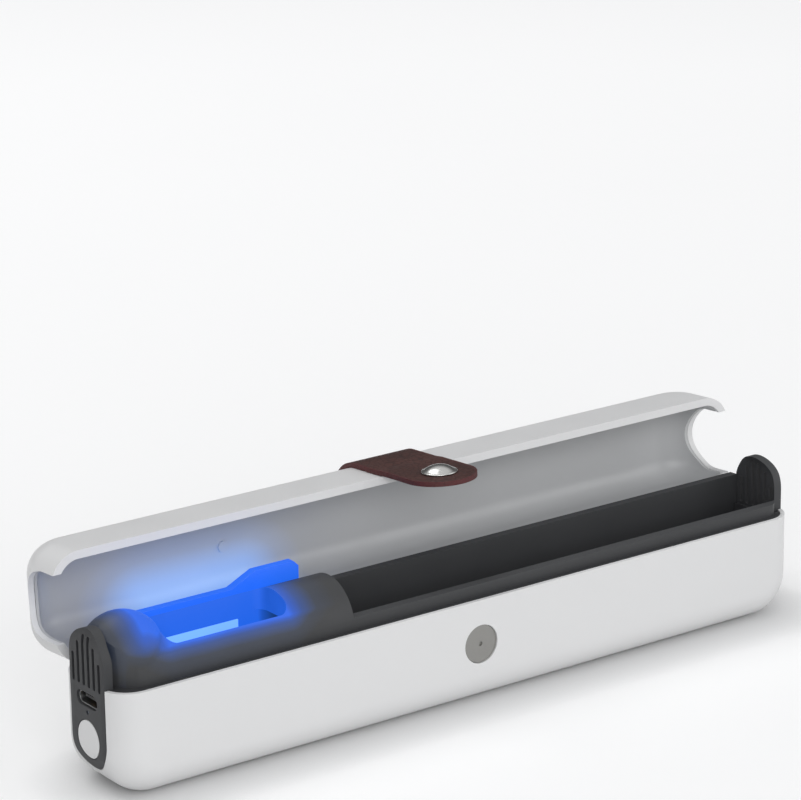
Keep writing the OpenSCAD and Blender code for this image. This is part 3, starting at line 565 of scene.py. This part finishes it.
def socket_screw(name, x, top):
    """Small pan-head screw with a six-sided socket, its head's seat at a height."""
    turns = 48
    # Radii and heights from the shank's tip up over the head and down into the socket
    shank_and_head = ((0.8, -5.4), (0.86, -4.9), (0.86, 0.0), (1.75, 0.0), (1.88, 0.14), (1.88, 0.6),
                      (1.74, 0.94), (1.4, 1.12))
    socket = ((1.06, 1.18), (1.0, 1.1), (0.98, 0.4), (0.5, 0.32))
    rings = [ring(r, z, turns) for r, z in shank_and_head]
    rings += [ring(r, z, turns, sides=6) for r, z in socket]
    data = loft(name, rings)
    data.transform(Matrix.Translation((x * MM, 0, top * MM)))
    return add_piece(name, data, "base", bright)


# Place along the case and height of the floor that each screw stands on
screw_places = ((-71.75, 24.0), (44.0, 23.6), (92.0, 23.6))
tray_screws = [socket_screw("tray_screw_%d" % (k + 1), x, top) for k, (x, top) in enumerate(screw_places)]
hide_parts("tray_screws")


def port_contacts():
    """Gold contact strips on both faces of the port's tongue."""
    count, pitch, start, half_tongue, rounding = 12, 0.5, 1.7, 0.35, 0.02
    size = Vector((2.6, 0.26, 0.06))
    low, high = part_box("usb_tongue")
    mesh = bmesh.new()
    for side in (-1, 1):
        for k in range(count):
            y = (k - (count - 1) / 2) * pitch * MM
            z = (low.z + high.z) / 2 + side * half_tongue * MM
            strip = bmesh.ops.create_cube(mesh, size=1.0)["verts"]
            bmesh.ops.scale(mesh, vec=size * MM, verts=strip)
            bmesh.ops.translate(mesh, vec=(low.x + start * MM, y, z), verts=strip)
    bmesh.ops.bevel(mesh, geom=list(mesh.edges), offset=rounding * MM, segments=1, affect="EDGES")
    add_piece("port_contacts", written(mesh, "port_contacts"), "base", gold)


port_contacts()


# Stage: pale floor, soft studio light
def floor_material():
    s = Shader("floor")
    _, seen = s.rays()
    tone = s.mix(s.noise(scale=6, detail=2), (0.715, 0.715, 0.715), (0.73, 0.73, 0.73))
    matte = s.add("ShaderNodeBsdfDiffuse", {"Color": tone}).outputs[0]
    # The lift fades by ambient occlusion where the part stands close: painted shade that deepens the real
    # shadow at its foot
    free = s.add("ShaderNodeAmbientOcclusion", {"Distance": 0.016}, samples=8).outputs["AO"]
    reach = s.span(s.vector("LENGTH", s.place), 0.1, 0.8, 0.30, 0.385)
    strength = s.math("MULTIPLY", seen, s.math("MULTIPLY", s.math("MULTIPLY", free, free), reach))
    lift = s.add("ShaderNodeEmission", {"Color": (1, 1, 1, 1), "Strength": strength}).outputs[0]
    return s.finish(s.add("ShaderNodeAddShader", {0: matte, 1: lift}).outputs[0])


bpy.ops.mesh.primitive_plane_add(size=14, location=(0, 0, -0.0003))
floor = bpy.context.object
floor.name = "floor"
floor.data.materials.append(floor_material())


def studio():
    """White to the camera, softer as a light, and dimmer low behind the part for the metal to mirror."""
    s = Tree(bpy.data.worlds.new("studio"), "ShaderNodeOutputWorld", "Generated")
    seen, seen_or_sent_on = s.rays()
    apart = s.add("ShaderNodeSeparateXYZ", {0: s.place}).outputs
    high_up = s.span(apart["Z"], 0.45, 0.8, smooth=True)
    in_front = s.span(apart["Y"], 0.25, -0.25, smooth=True)
    lit = s.math("MAXIMUM", high_up, in_front)
    soft = s.add("ShaderNodeBackground", {
        "Color": (0.97, 0.98, 1.0, 1), "Strength": s.span(lit, 0.0, 1.0, 0.08, 0.6)}).outputs[0]
    white = s.add("ShaderNodeBackground", {
        "Color": (0.956, 0.956, 0.956, 1),
        "Strength": s.math("MAXIMUM", seen, s.span(lit, 0.0, 1.0, 0.12, 0.9))}).outputs[0]
    return s.finish(s.add("ShaderNodeMixShader", {0: seen_or_sent_on, 1: soft, 2: white}).outputs[0])


scene.world = studio()


def softbox(name, place, size, power):
    """Rectangular lamp that faces the part's lower middle."""
    aim = Vector((0, 0, 0.03))
    data = bpy.data.lights.new(name, "AREA")
    data.shape = "RECTANGLE"
    data.size, data.size_y = size
    data.energy = power
    lamp_object = bpy.data.objects.new(name, data)
    scene.collection.objects.link(lamp_object)
    lamp_object.location = place
    lamp_object.rotation_euler = (aim - Vector(place)).to_track_quat("-Z", "Y").to_euler()


softbox("key", place=(-0.9, -1.7, 0.85), size=(1.3, 0.9), power=13)
softbox("fill", place=(1.5, -1.3, 0.7), size=(1.2, 1.0), power=5.4)
softbox("top", place=(-0.35, 0.75, 1.5), size=(1.1, 0.9), power=8.5)
